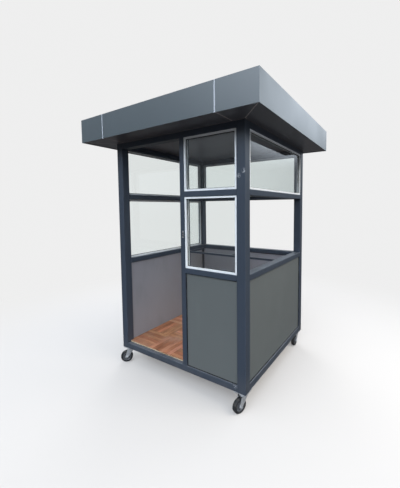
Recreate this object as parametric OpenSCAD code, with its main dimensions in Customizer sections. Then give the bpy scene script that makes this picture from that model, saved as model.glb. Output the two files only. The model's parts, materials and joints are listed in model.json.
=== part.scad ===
// Mobile guard booth: a welded square-tube frame with sandwich panels below, windows above,
// a doorway, two open serving bays, a flat overhanging roof and four swivel casters.
// Millimetres, +Z up, +Y into the booth from the doorway side, +X to the right of the doorway.
// The origin is on the ground, under the middle of the roof.

/* [Body] */
// Outside width of the frame, left to right
body_w = 1540; // [1300:10:2400]
// Outside depth of the frame, front to back
body_d = 1450; // [1200:10:2400]
// Height of the frame, from its underside to the top of the top beams
frame_h = 2200; // [2050:10:2600]
// Clear width of the doorway
door_w = 790; // [650:10:850]

/* [Frame tubes] */
// Side of the square corner posts, and depth of every rail
post = 80; // [70:5:120]
// Width of the door mullion
mullion_w = 50; // [40:5:80]
// Height of the base rails
base_h = 58; // [50:1:80]
// Height of the sill rails and the transoms
rail_h = 50; // [40:5:80]
// Height of the top beams
top_h = 58; // [50:1:80]
// Wall of every frame tube
tube_wall = 2.5; // [2:0.5:4]
// Outside corner radius of every frame tube
tube_r = 4; // [3:0.5:8]
// Underside of the sill rails above the underside of the frame
sill_z = 930; // [700:10:1100]
// Underside of the transoms above the underside of the frame
transom_z = 1620; // [1400:10:1750]

/* [Panels and floor] */
// Thickness of the sandwich panels under the sills
panel_t = 50; // [30:5:60]
// Set-back of the panels from the outer face of the frame
panel_set = 15; // [5:1:20]
// Thickness of the floor board
board_t = 9; // [6:1:25]
// Thickness of the floor covering
cover_t = 3; // [2:0.5:5]
// Set-back of the floor edge from the outer face, in the doorway
floor_set = 42; // [10:1:70]
// Side of the square joists under the floor board
joist = 40; // [30:5:50]
// Number of floor joists
joist_count = 3; // [2:1:5]

/* [Windows] */
// Face width of the window frames
sash_w = 16; // [14:1:40]
// Depth of the window frames
sash_d = 40; // [24:1:50]
// Set-back of the window frames from the outer face
sash_set = 5; // [4:1:15]
// Thickness of the glass
glass_t = 5; // [4:1:8]
// Depth that the glass reaches into its frame
glass_bite = 8; // [5:1:12]
// Clearance round the glass and round each window frame
glazing_gap = 0.3; // [0.1:0.1:0.8]

/* [Roof] */
// Overhang past the frame on the left and on the right
eave_side = 235; // [100:5:400]
// Overhang past the frame at the front
eave_front = 240; // [100:5:400]
// Overhang past the frame at the back
eave_back = 150; // [60:5:400]
// Height of the fascia
fascia_h = 226; // [150:1:300]
// How far the fascia hangs below the soffit
fascia_drop = 5; // [2:1:15]
// Thickness of the fascia, soffit and ceiling sheets
sheet_t = 4; // [3:0.5:6]
// Width of the return along the top of the fascia
cap_w = 45; // [25:5:80]
// Depth of the roof deck below the top of the fascia
deck_drop = 25; // [10:5:60]
// Thickness of the roof deck
deck_t = 2; // [1:0.5:5]
// Length of each end cassette of the front and back fascias
cassette_end = 350; // [250:10:500]
// Width of the sealed joints between fascia cassettes
joint_w = 11; // [6:1:16]
// Width of the seams between soffit sheets
seam_w = 3; // [2:0.5:6]

/* [Desk frame] */
// Reach of the desk frame from the back wall
desk_reach = 340; // [240:10:450]
// Side of the square desk bars
desk_bar = 24; // [16:1:40]
// Place of the middle desk arm, right of the middle of the booth
desk_arm_x = -20; // [-300:10:300]

/* [Lock keep] */
// Height of the middle of the keep above the underside of the frame
keep_z = 1285; // [900:5:1400]
// Length of the keep
keep_l = 64; // [40:1:120]
// Width of the keep
keep_w = 16; // [10:1:24]
// Thickness of the keep
keep_t = 2; // [1:0.5:4]
// Place of the keep across the mullion, from the side of the doorway
keep_in = 30; // [15:1:30]

/* [Casters] */
// Diameter of the wheels
wheel_d = 125; // [100:5:150]
// Width of the tyres
wheel_w = 38; // [30:1:50]
// Diameter of the wheel's rim, inside the tyre
core_d = 84; // [60:1:90]
// Diameter of the wheel's hub
hub_d = 30; // [24:1:40]
// Thickness of the web between the hub and the rim
web_t = 10; // [6:1:20]
// Thickness of the rim, measured outwards
rim_t = 7; // [4:1:10]
// Set-back of the rim's edges from the tyre's sides
rim_set = 2; // [0:0.5:4]
// Radius of the tyre's shoulders
tyre_r = 6; // [3:1:12]
// Trail of the wheel behind its swivel
trail = 42; // [30:1:60]
// Distance of each swivel from the two nearest outer faces of the frame
swivel_in = 55; // [50:1:100]
// Gap between the tyre and the crown of the fork
crown_gap = 14; // [8:1:30]
// Gap between the tyre and each cheek of the fork
cheek_gap = 5.5; // [5:0.5:10]
// Thickness of the fork's steel
fork_t = 4; // [3:0.5:6]
// Radius of the fork's cheeks round the axle
cheek_r = 17; // [12:1:24]
// Diameter of the axle bolt
axle_d = 12; // [8:1:16]
// Diameter of the kingpin
kingpin_d = 14; // [10:1:18]
// Diameter of the swivel race
race_d = 62; // [50:1:80]
// Height of each half of the swivel race
race_h = 10; // [6:1:16]
// Thickness of the caster's top plate
plate_t = 6; // [4:1:10]
// Side of the caster's square top plate
plate_w = 96; // [84:1:110]
// Side of the corner plate under each post
corner_w = 110; // [100:1:140]
// Thickness of the corner plate under each post
corner_t = 8; // [5:1:12]
// Radial clearance of the wheel on its axle and of the fork on its kingpin
run_gap = 0.05; // [0.02:0.01:0.1]
// Clearance between the two halves of the swivel race, and at the kingpin nut
race_gap = 0.3; // [0.2:0.1:0.6]
// Rest directions of the trails, front left, front right, back right and back left
trail_angles = [225, 250, 270, 240]; // [0:5:360]

/* [Hidden] */
$fn = 48;

steel_blue = [0.20, 0.23, 0.29];
panel_grey = [0.35, 0.38, 0.38];
roof_grey = [0.38, 0.41, 0.45];
soffit_dark = [0.11, 0.11, 0.13];
white_alu = [0.82, 0.84, 0.86];
pane_blue = [0.65, 0.75, 0.78, 0.35];
board_pale = [0.66, 0.58, 0.48];
parquet_brown = [0.58, 0.38, 0.27];
sealant_pale = [0.72, 0.75, 0.78];
zinc = [0.70, 0.71, 0.72];
tyre_black = [0.07, 0.07, 0.08];

// Plan of the frame: outer faces, inner faces of the rails, and faces of the panels
roof_w = body_w + 2 * eave_side;
roof_d = body_d + eave_front + eave_back;
left_x = -body_w / 2;
right_x = body_w / 2;
front_y = -roof_d / 2 + eave_front;
back_y = front_y + body_d;
in_left = left_x + post;
in_right = right_x - post;
in_front = front_y + post;
in_back = back_y - post;
mullion_x = in_left + door_w;
bay_x = mullion_x + mullion_w;
skin_in = panel_set + panel_t;

// Heights above the ground, from the casters up
race_top = corner_t + plate_t;
fork_drop = race_top + 2 * race_h + race_gap;
crown_z = wheel_d + crown_gap;
base_z = crown_z + fork_t + fork_drop;
sill_low = base_z + sill_z;
sill_top = sill_low + rail_h;
transom_low = base_z + transom_z;
transom_top = transom_low + rail_h;
beam_top = base_z + frame_h;
beam_low = beam_top - top_h;
base_top = base_z + base_h;
floor_top = base_top + board_t + cover_t;
roof_top = beam_top + fascia_h - fascia_drop;
deck_z = roof_top - deck_drop - deck_t;

// Window bays: widths, and heights over and under the transoms
front_bay = in_right - bay_x;
side_bay = in_back - in_front;
back_bay = in_right - in_left;
upper_h = beam_low - transom_top;
lower_h = transom_low - sill_top;

// Caster fork and fixings: inside of the cheeks, crown half-length, nut and bolt head sizes
cheek_in = wheel_w / 2 + cheek_gap;
crown_r = (race_d + fork_t) / 2;
nut_wide = 1.7;
nut_tall = 0.6;
kingpin_nut_d = nut_wide * kingpin_d;
kingpin_nut_h = nut_tall * kingpin_d;
bolt_head_d = nut_wide * axle_d;
bolt_head_h = nut_tall * axle_d;

// How far a cut runs past the faces that it opens
past = 1;

// Swivel centres, in the order of trail_angles
swivels = [
    [left_x + swivel_in, front_y + swivel_in],
    [right_x - swivel_in, front_y + swivel_in],
    [right_x - swivel_in, back_y - swivel_in],
    [left_x + swivel_in, back_y - swivel_in]];
posts_at = [
    [left_x, front_y], [in_right, front_y], [in_right, in_back], [left_x, in_back]];

// Section of a tube or bar, centred, with true round corners
module rounded(w, h, r) {
    square([w - 2 * r, h], center = true);
    square([w, h - 2 * r], center = true);
    for (x = [-1, 1], y = [-1, 1])
        translate([x * (w / 2 - r), y * (h / 2 - r)])
            circle(r);
}

// Section of a frame tube, with its hollow
module tube_section(w, h) {
    difference() {
        rounded(w, h, tube_r);
        rounded(w - 2 * tube_wall, h - 2 * tube_wall, tube_r - tube_wall);
    }
}

// Upright tube with its outer corner at [x, y]
module upright(x, y, w, d, low, high) {
    translate([x + w / 2, y + d / 2, low])
        linear_extrude(high - low)
            tube_section(w, d);
}

// Tube along X between x0 and x1, with its outer corner at [y, z]
module rail_x(x0, x1, y, z, h) {
    translate([x0, y + post / 2, z + h / 2])
        rotate([90, 0, 90])
            linear_extrude(x1 - x0)
                tube_section(post, h);
}

// Tube along Y between y0 and y1, with its outer corner at [x, z]
module rail_y(y0, y1, x, z, h) {
    translate([x + post / 2, y0, z + h / 2])
        rotate([-90, 0, 0])
            linear_extrude(y1 - y0)
                tube_section(post, h);
}

// Rails on three walls, and on the front from front_x0 to the right post
module rail_ring(front_x0, z, h) {
    rail_x(front_x0, in_right, front_y, z, h);
    rail_x(in_left, in_right, in_back, z, h);
    rail_y(in_front, in_back, left_x, z, h);
    rail_y(in_front, in_back, in_right, z, h);
}

// Box between two corners
module block(low, high) {
    translate(low)
        cube(high - low);
}

module corner_post(i) {
    color(steel_blue)
        upright(posts_at[i][0], posts_at[i][1], post, post, base_z, beam_top);
}

module post_front_left() {
    corner_post(0);
}

module post_front_right() {
    corner_post(1);
}

module post_back_right() {
    corner_post(2);
}

module post_back_left() {
    corner_post(3);
}

module door_mullion() {
    color(steel_blue)
        upright(mullion_x, front_y, mullion_w, post, base_top, beam_low);
}

module base_rails() {
    color(steel_blue)
        rail_ring(in_left, base_z, base_h);
}

module top_beams() {
    color(steel_blue)
        rail_ring(in_left, beam_low, top_h);
}

module sill_rails() {
    color(steel_blue)
        rail_ring(bay_x, sill_low, rail_h);
}

module transoms() {
    color(steel_blue)
        rail_ring(bay_x, transom_low, rail_h);
}

module panel_front() {
    color(panel_grey)
        block([bay_x, front_y + panel_set, base_top], [in_right, front_y + skin_in, sill_low]);
}

module panel_right() {
    color(panel_grey)
        block([right_x - skin_in, in_front, base_top], [right_x - panel_set, in_back, sill_low]);
}

module panel_back() {
    color(panel_grey)
        block([in_left, back_y - skin_in, base_top], [in_right, back_y - panel_set, sill_low]);
}

module panel_left() {
    color(panel_grey)
        block([left_x + panel_set, in_front, base_top], [left_x + skin_in, in_back, sill_low]);
}

// Glass of a bay of size w by h, standing in the XZ plane, its outer side towards -Y
module pane(w, h, extra = 0) {
    edge = glazing_gap + sash_w - glass_bite - extra;
    translate([edge, sash_set + (sash_d - glass_t) / 2 - extra, edge])
        cube([w - 2 * edge, glass_t + 2 * extra, h - 2 * edge]);
}

// Window frame of a bay of size w by h, grooved for its glass
module sash(w, h) {
    inner = glazing_gap + sash_w;
    difference() {
        translate([glazing_gap, sash_set, glazing_gap])
            cube([w - 2 * glazing_gap, sash_d, h - 2 * glazing_gap]);
        translate([inner, 0, inner])
            cube([w - 2 * inner, post, h - 2 * inner]);
        pane(w, h, glazing_gap);
    }
}

// Places a bay's window: lower left corner seen from outside, at height z
module on_front(z) {
    translate([bay_x, front_y, z])
        children();
}

module on_right(z) {
    translate([right_x, in_front, z])
        rotate([0, 0, 90])
            children();
}

module on_back(z) {
    translate([in_right, back_y, z])
        rotate([0, 0, 180])
            children();
}

module on_left(z) {
    translate([left_x, in_back, z])
        rotate([0, 0, -90])
            children();
}

module window_frames_front() {
    color(white_alu) {
        on_front(transom_top) sash(front_bay, upper_h);
        on_front(sill_top) sash(front_bay, lower_h);
    }
}

module window_frame_right() {
    color(white_alu)
        on_right(transom_top) sash(side_bay, upper_h);
}

module window_frame_back() {
    color(white_alu)
        on_back(transom_top) sash(back_bay, upper_h);
}

module window_frames_left() {
    color(white_alu) {
        on_left(transom_top) sash(side_bay, upper_h);
        on_left(sill_top) sash(side_bay, lower_h);
    }
}

module glass_front() {
    color(pane_blue) {
        on_front(transom_top) pane(front_bay, upper_h);
        on_front(sill_top) pane(front_bay, lower_h);
    }
}

module glass_right() {
    color(pane_blue)
        on_right(transom_top) pane(side_bay, upper_h);
}

module glass_back() {
    color(pane_blue)
        on_back(transom_top) pane(back_bay, upper_h);
}

module glass_left() {
    color(pane_blue) {
        on_left(transom_top) pane(side_bay, upper_h);
        on_left(sill_top) pane(side_bay, lower_h);
    }
}

// Floor sheet between the panels, cut round the posts and the mullion, out into the doorway
module floor_sheet(z, t) {
    difference() {
        union() {
            block([left_x + skin_in, front_y + skin_in, z],
                [right_x - skin_in, back_y - skin_in, z + t]);
            block([in_left, front_y + floor_set, z], [mullion_x, in_front, z + t]);
        }
        for (p = posts_at)
            block([p[0], p[1], z - past], [p[0] + post, p[1] + post, z + t + past]);
        block([mullion_x, front_y, z - past], [bay_x, in_front, z + t + past]);
    }
}

// Joists from the front base rail to the back one, evenly spaced, flush with the rails' tops
module floor_joists() {
    pitch = (in_right - in_left) / (joist_count + 1);
    color(steel_blue)
        for (i = [1:joist_count])
            translate([in_left + i * pitch, in_front, base_top - joist / 2])
                rotate([-90, 0, 0])
                    linear_extrude(in_back - in_front)
                        tube_section(joist, joist);
}

module floor_board() {
    color(board_pale)
        floor_sheet(base_top, board_t);
}

module floor_covering() {
    color(parquet_brown)
        floor_sheet(base_top + board_t, cover_t);
}

// Open frame for a desk top: a front bar and three arms back to the rear panel
module desk_frame() {
    low = sill_low - desk_bar;
    rear = back_y - skin_in;
    front = in_back - desk_reach;
    arms = [left_x + skin_in, desk_arm_x - desk_bar / 2, right_x - skin_in - desk_bar];
    color(steel_blue)
        difference() {
            union() {
                block([left_x + skin_in, front, low],
                    [right_x - skin_in, front + desk_bar, sill_low]);
                for (x = arms)
                    block([x, front, low], [x + desk_bar, rear, sill_low]);
            }
            for (p = posts_at)
                block([p[0], p[1], low - past], [p[0] + post, p[1] + post, sill_low + past]);
        }
}

module lock_keep() {
    color(zinc)
        block([mullion_x + keep_in - keep_w / 2, front_y - keep_t, base_z + keep_z - keep_l / 2],
            [mullion_x + keep_in + keep_w / 2, front_y, base_z + keep_z + keep_l / 2]);
}

// The ceiling and the soffit meet over the middle of the top beams
module ceiling_panel() {
    lap = (post + seam_w) / 2;
    color(soffit_dark)
        block([left_x + lap, front_y + lap, beam_top],
            [right_x - lap, back_y - lap, beam_top + sheet_t]);
}

// One soffit strip: long edges at the eave (outer) and over the beam (inner), mitred ends
module soffit_strip(outer, inner, depth) {
    polygon([[-outer / 2, 0], [outer / 2, 0], [inner / 2, depth], [-inner / 2, depth]]);
}

// Strip of the front or the back, parted in line with the fascia joints
module soffit_long(depth) {
    outer = roof_w - 2 * sheet_t - 2 * seam_w;
    inner = body_w - post - seam_w;
    middle = roof_w - 2 * cassette_end;
    difference() {
        soffit_strip(outer, inner, depth);
        for (s = [-1, 1])
            translate([s * middle / 2 - seam_w / 2, -past])
                square([seam_w, depth + 2 * past]);
    }
}

// Strip of a side, its inner edge shifted by the difference between the front and back eaves
module soffit_side(depth, shift) {
    outer = roof_d - 2 * sheet_t - 2 * seam_w;
    inner = body_d - post - seam_w;
    polygon([[-outer / 2, 0], [outer / 2, 0],
        [inner / 2 + shift, depth], [-inner / 2 + shift, depth]]);
}

module soffit_panels() {
    lap = (post - seam_w) / 2;
    shift = (eave_front - eave_back) / 2;
    color(soffit_dark)
        translate([0, 0, beam_top])
            linear_extrude(sheet_t) {
                translate([0, -roof_d / 2 + sheet_t])
                    soffit_long(eave_front - sheet_t + lap);
                translate([0, roof_d / 2 - sheet_t])
                    mirror([0, 1])
                        soffit_long(eave_back - sheet_t + lap);
                translate([roof_w / 2 - sheet_t, 0])
                    rotate(90)
                        soffit_side(eave_side - sheet_t + lap, shift);
                translate([-roof_w / 2 + sheet_t, 0])
                    mirror([1, 0])
                        rotate(90)
                            soffit_side(eave_side - sheet_t + lap, shift);
            }
}

// Fascia cassette from x0 to x1: upright sheet and top return, outer side towards -Y
module cassette(x0, x1) {
    low = beam_top - fascia_drop;
    block([x0, 0, low], [x1, sheet_t, roof_top]);
    block([x0, 0, roof_top - sheet_t], [x1, cap_w, roof_top]);
}

// Front or back fascia: three cassettes with a joint between them
module long_fascia() {
    joint_x = roof_w / 2 - cassette_end;
    cassette(-roof_w / 2, -joint_x - joint_w / 2);
    cassette(-joint_x + joint_w / 2, joint_x - joint_w / 2);
    cassette(joint_x + joint_w / 2, roof_w / 2);
}

// Side fascia: one cassette between the front and back ones, its return cut back to theirs
module side_fascia() {
    difference() {
        cassette(-roof_d / 2 + sheet_t, roof_d / 2 - sheet_t);
        for (s = [-1, 1])
            translate([s * roof_d / 2, 0, roof_top])
                cube([2 * cap_w, 2 * (cap_w + past), 2 * sheet_t], center = true);
    }
}

module at_front() {
    translate([0, -roof_d / 2, 0])
        children();
}

module at_right() {
    translate([roof_w / 2, 0, 0])
        rotate([0, 0, 90])
            children();
}

module at_back() {
    translate([0, roof_d / 2, 0])
        rotate([0, 0, 180])
            children();
}

module at_left() {
    translate([-roof_w / 2, 0, 0])
        rotate([0, 0, -90])
            children();
}

module fascia_front() {
    color(roof_grey)
        at_front() long_fascia();
}

module fascia_right() {
    color(roof_grey)
        at_right() side_fascia();
}

module fascia_back() {
    color(roof_grey)
        at_back() long_fascia();
}

module fascia_left() {
    color(roof_grey)
        at_left() side_fascia();
}

// Sealant that fills the joints of the front and back fascias
module sealant_pair() {
    joint_x = roof_w / 2 - cassette_end;
    for (s = [-1, 1])
        translate([s * joint_x, 0, 0])
            cassette(-joint_w / 2, joint_w / 2);
}

module fascia_sealant() {
    color(sealant_pale) {
        at_front() sealant_pair();
        at_back() sealant_pair();
    }
}

module roof_deck() {
    color(roof_grey)
        block([-roof_w / 2 + sheet_t, -roof_d / 2 + sheet_t, deck_z],
            [roof_w / 2 - sheet_t, roof_d / 2 - sheet_t, deck_z + deck_t]);
}

// Fixed part of a caster: corner plate, top plate, upper race, and kingpin with its nut
module caster_plate() {
    nut_top = crown_z - race_gap;
    translate([0, 0, base_z - corner_t / 2])
        cube([corner_w, corner_w, corner_t], center = true);
    translate([0, 0, base_z - corner_t - plate_t / 2])
        cube([plate_w, plate_w, plate_t], center = true);
    translate([0, 0, base_z - race_top - race_h])
        cylinder(d = race_d, h = race_h);
    translate([0, 0, nut_top])
        cylinder(d = kingpin_d, h = base_z - race_top - nut_top);
    translate([0, 0, nut_top - kingpin_nut_h])
        cylinder(d = kingpin_nut_d, h = kingpin_nut_h, $fn = 6);
}

module caster_plates() {
    color(zinc)
        for (s = swivels)
            translate([s[0], s[1], 0])
                caster_plate();
}

// Side outline of a fork cheek: wide at the crown, round at the axle, in x and z
module cheek_outline() {
    top = crown_z + fork_t;
    polygon([[-crown_r, top], [crown_r, top], [trail + cheek_r, wheel_d / 2],
        [trail - cheek_r, wheel_d / 2]]);
    translate([trail, wheel_d / 2])
        circle(cheek_r);
}

// Fork with its trail along +X: crown, lower race, two cheeks and the axle bolt
module caster_fork(i) {
    axle_l = 2 * (cheek_in + fork_t + bolt_head_h);
    color(zinc)
        translate([swivels[i][0], swivels[i][1], 0])
            rotate([0, 0, trail_angles[i]])
                union() {
                    difference() {
                        union() {
                            translate([-crown_r, -cheek_in, crown_z])
                                cube([2 * crown_r, 2 * cheek_in, fork_t]);
                            translate([0, 0, crown_z + fork_t])
                                cylinder(d = race_d, h = race_h);
                        }
                        translate([0, 0, crown_z - past])
                            cylinder(d = kingpin_d + 2 * run_gap, h = fork_t + race_h + 2 * past);
                    }
                    for (s = [-1, 1])
                        translate([0, s * (cheek_in + fork_t / 2) + fork_t / 2, 0])
                            rotate([90, 0, 0])
                                linear_extrude(fork_t)
                                    cheek_outline();
                    translate([trail, axle_l / 2, wheel_d / 2])
                        rotate([90, 0, 0])
                            cylinder(d = axle_d, h = axle_l);
                    for (s = [-1, 1])
                        translate([trail, s * (axle_l - bolt_head_h) / 2 + bolt_head_h / 2,
                            wheel_d / 2])
                            rotate([90, 0, 0])
                                cylinder(d = bolt_head_d, h = bolt_head_h, $fn = 6);
                }
}

module caster_fork_front_left() {
    caster_fork(0);
}

module caster_fork_front_right() {
    caster_fork(1);
}

module caster_fork_back_right() {
    caster_fork(2);
}

module caster_fork_back_left() {
    caster_fork(3);
}

// Half section of a wheel round its axle: hub, web, rim and tyre, in radius and width
module wheel_section() {
    bore_r = axle_d / 2 + run_gap;
    half_w = wheel_w / 2;
    translate([bore_r, -half_w])
        square([hub_d / 2 - bore_r, wheel_w]);
    translate([hub_d / 2, -web_t / 2])
        square([core_d / 2 - hub_d / 2, web_t]);
    translate([core_d / 2 - rim_t, -half_w + rim_set])
        square([rim_t, wheel_w - 2 * rim_set]);
    translate([core_d / 2, -half_w])
        square([wheel_d / 2 - tyre_r - core_d / 2, wheel_w]);
    translate([core_d / 2, -half_w + tyre_r])
        square([wheel_d / 2 - core_d / 2, wheel_w - 2 * tyre_r]);
    for (s = [-1, 1])
        translate([wheel_d / 2 - tyre_r, s * (half_w - tyre_r)])
            circle(tyre_r);
}

module caster_wheel(i) {
    color(tyre_black)
        translate([swivels[i][0], swivels[i][1], 0])
            rotate([0, 0, trail_angles[i]])
                translate([trail, 0, wheel_d / 2])
                    rotate([90, 0, 0])
                        rotate_extrude($fn = 96)
                            wheel_section();
}

module caster_wheel_front_left() {
    caster_wheel(0);
}

module caster_wheel_front_right() {
    caster_wheel(1);
}

module caster_wheel_back_right() {
    caster_wheel(2);
}

module caster_wheel_back_left() {
    caster_wheel(3);
}

post_front_left();
post_front_right();
post_back_right();
post_back_left();
door_mullion();
base_rails();
top_beams();
sill_rails();
transoms();
panel_front();
panel_right();
panel_back();
panel_left();
window_frames_front();
window_frame_right();
window_frame_back();
window_frames_left();
glass_front();
glass_right();
glass_back();
glass_left();
floor_joists();
floor_board();
floor_covering();
desk_frame();
lock_keep();
ceiling_panel();
soffit_panels();
fascia_front();
fascia_right();
fascia_back();
fascia_left();
fascia_sealant();
roof_deck();
caster_plates();
caster_fork_front_left();
caster_fork_front_right();
caster_fork_back_right();
caster_fork_back_left();
caster_wheel_front_left();
caster_wheel_front_right();
caster_wheel_back_right();
caster_wheel_back_left();
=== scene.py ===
import json
import math

import bmesh
import bpy
from mathutils import Matrix, Vector


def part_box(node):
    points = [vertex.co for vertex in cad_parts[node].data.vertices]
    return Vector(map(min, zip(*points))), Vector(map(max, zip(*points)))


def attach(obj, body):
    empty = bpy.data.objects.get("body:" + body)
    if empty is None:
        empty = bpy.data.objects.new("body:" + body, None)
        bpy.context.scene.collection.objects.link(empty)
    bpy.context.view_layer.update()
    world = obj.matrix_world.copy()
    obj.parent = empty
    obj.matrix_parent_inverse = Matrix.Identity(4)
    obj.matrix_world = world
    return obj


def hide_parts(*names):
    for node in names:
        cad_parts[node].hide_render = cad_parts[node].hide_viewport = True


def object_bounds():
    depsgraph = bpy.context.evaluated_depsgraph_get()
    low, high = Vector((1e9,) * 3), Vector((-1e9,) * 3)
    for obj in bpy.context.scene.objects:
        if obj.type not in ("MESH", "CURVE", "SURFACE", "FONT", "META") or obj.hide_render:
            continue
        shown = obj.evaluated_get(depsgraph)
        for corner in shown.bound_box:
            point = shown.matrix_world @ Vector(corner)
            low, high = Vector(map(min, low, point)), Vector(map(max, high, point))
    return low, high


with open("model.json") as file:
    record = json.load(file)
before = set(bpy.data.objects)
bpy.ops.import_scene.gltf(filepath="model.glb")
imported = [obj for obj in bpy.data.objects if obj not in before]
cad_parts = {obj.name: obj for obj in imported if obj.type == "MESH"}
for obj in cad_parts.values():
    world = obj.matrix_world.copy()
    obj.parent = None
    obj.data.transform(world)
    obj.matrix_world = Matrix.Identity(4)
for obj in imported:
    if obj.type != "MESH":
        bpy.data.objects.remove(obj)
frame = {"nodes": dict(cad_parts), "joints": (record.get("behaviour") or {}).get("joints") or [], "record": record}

CAD_LOW, CAD_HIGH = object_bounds()
MM = 0.001
BODY = "booth"
NODES = frame["nodes"]
CORNERS = ("front_left", "front_right", "back_right", "back_left")


# ---------------------------------------------------------------- places, from the CAD boxes

def levels(node):
    """Bottom and top of a CAD node."""
    low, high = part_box(node)
    return low.z, high.z


POST_LOW, POST_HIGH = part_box("post_front_left")
FRONT_Y, LEFT_X = POST_LOW.y, POST_LOW.x
FAR_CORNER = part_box("post_back_right")[1]
BACK_Y, RIGHT_X = FAR_CORNER.y, FAR_CORNER.x
POST = POST_HIGH.x - POST_LOW.x
MULLION_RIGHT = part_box("door_mullion")[1].x
BASE_Z, BASE_TOP = levels("base_rails")
SILL_LOW, SILL_TOP = levels("sill_rails")
TRANSOM_LOW, TRANSOM_TOP = levels("transoms")
BEAM_LOW = levels("top_beams")[0]


class Wall:
    """One wall seen from outside: u runs to its right, v up, and d inwards from its outer face."""

    def __init__(self, right, origin, u_low, u_high):
        self.right = Vector(right)
        self.inward = Vector((0, 0, 1)).cross(self.right)
        self.origin = Vector(origin)
        self.u_low, self.u_high = u_low, u_high

    def at(self, u, v, d):
        return self.origin + self.right * u + self.inward * d + Vector((0, 0, v))


WALLS = {
    "front": Wall((1, 0, 0), (0, FRONT_Y, 0), MULLION_RIGHT, RIGHT_X - POST),
    "right": Wall((0, 1, 0), (RIGHT_X, 0, 0), FRONT_Y + POST, BACK_Y - POST),
    "back": Wall((-1, 0, 0), (0, BACK_Y, 0), POST - RIGHT_X, -LEFT_X - POST),
    "left": Wall((0, -1, 0), (LEFT_X, 0, 0), POST - BACK_Y, -FRONT_Y - POST),
}
UPPER = (TRANSOM_TOP, BEAM_LOW)
LOWER = (SILL_TOP, TRANSOM_LOW)
# wall and levels of every glazed bay
GLAZED = [("front", UPPER), ("front", LOWER), ("right", UPPER), ("back", UPPER),
          ("left", UPPER), ("left", LOWER)]


# ---------------------------------------------------------------- material kit

def srgb(r, g, b):
    """A colour given as 8-bit screen values, in the linear values that the shaders take."""
    def linear(c):
        c /= 255
        return c / 12.92 if c <= 0.04045 else ((c + 0.055) / 1.055) ** 2.4
    return (linear(r), linear(g), linear(b), 1.0)


class Tree:
    """Short calls that add shader nodes to a node tree, with texture coordinates at hand."""

    def __init__(self, tree, space):
        self.tree = tree
        self.coords = self.add("ShaderNodeTexCoord").outputs[space]

    def _set(self, socket, value):
        if isinstance(value, bpy.types.NodeSocket):
            self.tree.links.new(value, socket)
        else:
            socket.default_value = value

    def add(self, kind, inputs=(), **settings):
        node = self.tree.nodes.new(kind)
        for key, value in settings.items():
            setattr(node, key, value)
        for key, value in dict(inputs).items():
            self._set(node.inputs[key], value)
        return node

    def math(self, operation, a, b=0.0, c=0.0):
        node = self.add("ShaderNodeMath", {0: a, 1: b, 2: c}, operation=operation)
        return node.outputs[0]

    def scaled(self, vector, scale):
        node = self.add("ShaderNodeVectorMath", {0: vector, 1: scale}, operation="MULTIPLY")
        return node.outputs[0]

    def noise(self, scale, detail=3.0, vector=None, stretch=None, roughness=0.5):
        vector = vector or self.coords
        if stretch:
            vector = self.scaled(vector, stretch)
        node = self.add("ShaderNodeTexNoise", {
            "Vector": vector, "Scale": scale, "Detail": detail, "Roughness": roughness})
        return node.outputs[0]

    def span(self, value, low, high, to_low=0.0, to_high=1.0, smooth=True):
        node = self.add("ShaderNodeMapRange", {
            0: value, 1: low, 2: high, 3: to_low, 4: to_high},
            interpolation_type="SMOOTHSTEP" if smooth else "LINEAR")
        return node.outputs[0]

    def mix(self, factor, a, b, blend="MIX"):
        node = self.add("ShaderNodeMix", {0: factor, 6: a, 7: b},
                        data_type="RGBA", blend_type=blend)
        return node.outputs[2]

    def axes(self, vector=None):
        return self.add("ShaderNodeSeparateXYZ", {0: vector or self.coords}).outputs

    def bump(self, height, distance, strength=1.0, normal=None):
        inputs = {"Height": height, "Distance": distance, "Strength": strength}
        if normal:
            inputs["Normal"] = normal
        return self.add("ShaderNodeBump", inputs).outputs[0]


class Shade(Tree):
    """A material with one Principled shader."""

    def __init__(self, name, color, roughness, **values):
        self.mat = bpy.data.materials.new(name)
        self.mat.use_nodes = True
        self.mat.diffuse_color = color
        super().__init__(self.mat.node_tree, "Object")
        self.shader = self.tree.nodes["Principled BSDF"]
        self.put("Base Color", color)
        self.put("Roughness", roughness)
        for key, value in values.items():
            self.put(key.replace("_", " "), value)

    def put(self, name, value):
        self._set(self.shader.inputs[name], value)


def tone(color, factor):
    """A colour made lighter or darker."""
    return tuple(min(1.0, c * factor) for c in color[:3]) + (1.0,)


def rounded(s, radius):
    """Normal of edges rounded to a radius, and how far each point is turned by the rounding."""
    soft = s.add("ShaderNodeBevel", {"Radius": radius}, samples=6).outputs[0]
    true = s.add("ShaderNodeNewGeometry").outputs["True Normal"]
    match = s.add("ShaderNodeVectorMath", {0: soft, 1: true}, operation="DOT_PRODUCT").outputs[1]
    return soft, s.span(match, 0.80, 0.99, 1.0, 0.0)


def upward(s):
    """One where the surface faces up, nought on walls and undersides."""
    normal = s.add("ShaderNodeNewGeometry").outputs["True Normal"]
    return s.span(s.axes(normal)[2], 0.5, 0.95)


DUST = srgb(150, 143, 132)
SETTLED_DUST = srgb(128, 132, 134)
BARE_METAL = srgb(205, 208, 212)
PAINT_EDGE = 2.5 * MM
TRIM_EDGE = 1 * MM
PLATE_EDGE = 1.2 * MM


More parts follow.
